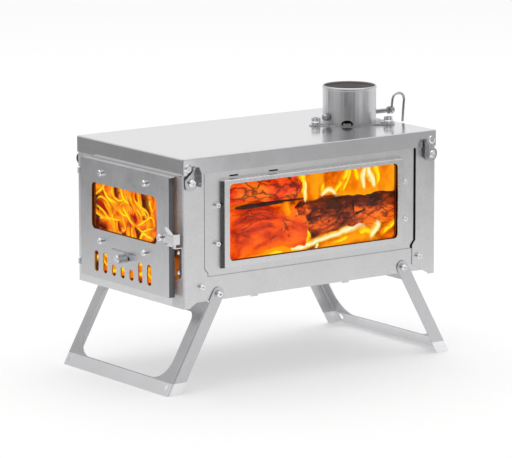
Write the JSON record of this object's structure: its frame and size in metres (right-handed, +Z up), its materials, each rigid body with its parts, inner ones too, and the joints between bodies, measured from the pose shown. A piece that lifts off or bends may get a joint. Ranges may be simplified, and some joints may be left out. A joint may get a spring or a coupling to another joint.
{
  "type": "folding tent wood stove",
  "caption": "Flat-pack wood stove of brushed titanium sheet on two hinged leg frames, with a glazed door, a glazed side, a lid with clasps, a draught slider and a flue collar with a damper.",
  "frame": {"origin": "on the ground, under the middle of the whole stove", "axes": "+Z up; the door faces -Y and the flue stands toward +Y; the glazed side wall faces +X"},
  "size_m": [0.224, 0.401, 0.2955],
  "materials": {
    "titanium_sheet": "brushed satin titanium",
    "titanium_satin": "fine satin titanium",
    "steel_fixing": "bright machined",
    "glass": "clear heat-proof glass"
  },
  "bodies": {
    "root": {"top_plate": "titanium_sheet", "front_panel": "titanium_sheet", "rear_panel": "titanium_sheet", "floor_tray": "titanium_sheet", "side_panel_right": "titanium_sheet", "side_panel_left": "titanium_sheet", "window_retainer": "titanium_sheet", "window_frame": "titanium_satin", "latch_keeper": "titanium_satin", "flue_collar": "titanium_satin", "flue_base_plate": "titanium_satin", "window_glass": "glass", "window_screw_1": "steel_fixing", "window_screw_2": "steel_fixing", "window_screw_3": "steel_fixing", "window_screw_4": "steel_fixing", "hinge_pin_upper": "steel_fixing", "hinge_pin_lower": "steel_fixing", "keeper_rivet_1": "steel_fixing", "keeper_rivet_2": "steel_fixing", "clasp_screw_front_right": "steel_fixing", "clasp_screw_front_left": "steel_fixing", "clasp_screw_rear_right": "steel_fixing", "clasp_screw_rear_left": "steel_fixing", "panel_screw_front_right": "steel_fixing", "panel_screw_front_left": "steel_fixing", "panel_screw_rear_right": "steel_fixing", "panel_screw_rear_left": "steel_fixing", "leg_screw_front_right": "steel_fixing", "leg_screw_front_left": "steel_fixing", "leg_screw_rear_right": "steel_fixing", "leg_screw_rear_left": "steel_fixing", "collar_nut_1": "steel_fixing", "collar_nut_2": "steel_fixing", "collar_nut_3": "steel_fixing", "damper_spring": "steel_fixing"},
    "door": {"door": "titanium_satin", "door_glass": "glass", "glass_retainer": "titanium_sheet", "door_screw_1": "steel_fixing", "door_screw_2": "steel_fixing", "door_screw_3": "steel_fixing", "door_screw_4": "steel_fixing", "latch_screw": "steel_fixing"},
    "vent_slide": {"vent_slider": "titanium_sheet", "vent_knob": "steel_fixing", "vent_knob_washer": "steel_fixing"},
    "latch": {"latch_lever": "titanium_satin"},
    "damper": {"damper_disc": "titanium_sheet", "damper_axle": "steel_fixing", "damper_nut": "steel_fixing", "damper_washer": "steel_fixing", "damper_handle": "steel_fixing"},
    "leg_front": {"front_leg": "titanium_sheet"},
    "leg_rear": {"rear_leg": "titanium_sheet"},
    "clasp_body_front_right": {"clasp_front_right": "titanium_satin"},
    "clasp_body_front_left": {"clasp_front_left": "titanium_satin"},
    "clasp_body_rear_right": {"clasp_rear_right": "titanium_satin"},
    "clasp_body_rear_left": {"clasp_rear_left": "titanium_satin"}
  },
  "joints": [
    {"name": "door_hinge", "type": "hinge", "parent": "root", "child": "door", "pos_m": [-0.0846, -0.18528, 0.1674], "axis": [0, 0, -1], "range_deg": [0, 160]},
    {"name": "vent_slide", "type": "slide", "parent": "door", "child": "vent_slide", "axis": [1, 0, 0], "range_m": [0, 0.0085]},
    {"name": "latch_turn", "type": "hinge", "parent": "door", "child": "latch", "pos_m": [0.078, -0.18898, 0.168], "axis": [0, -1, 0], "range_deg": [0, 25]},
    {"name": "damper_turn", "type": "hinge", "parent": "root", "child": "damper", "pos_m": [0, 0.12122, 0.2617], "axis": [0, 1, 0], "range_deg": [0, 90]},
    {"name": "front_leg_fold", "type": "hinge", "parent": "root", "child": "leg_front", "pos_m": [0, -0.13128, 0.1038], "axis": [1, 0, 0], "range_deg": [0, 116]},
    {"name": "rear_leg_fold", "type": "hinge", "parent": "root", "child": "leg_rear", "pos_m": [0, 0.11872, 0.1038], "axis": [-1, 0, 0], "range_deg": [0, 116]},
    {"name": "clasp_turn_front_right", "type": "hinge", "parent": "root", "child": "clasp_body_front_right", "pos_m": [0.1042, -0.16798, 0.2277], "axis": [-1, 0, 0], "range_deg": [0, 90]},
    {"name": "clasp_turn_front_left", "type": "hinge", "parent": "root", "child": "clasp_body_front_left", "pos_m": [-0.1042, -0.16798, 0.2277], "axis": [-1, 0, 0], "range_deg": [0, 90]},
    {"name": "clasp_turn_rear_right", "type": "hinge", "parent": "root", "child": "clasp_body_rear_right", "pos_m": [0.1042, 0.15542, 0.2277], "axis": [1, 0, 0], "range_deg": [0, 90]},
    {"name": "clasp_turn_rear_left", "type": "hinge", "parent": "root", "child": "clasp_body_rear_left", "pos_m": [-0.1042, 0.15542, 0.2277], "axis": [1, 0, 0], "range_deg": [0, 90]}
  ]
}
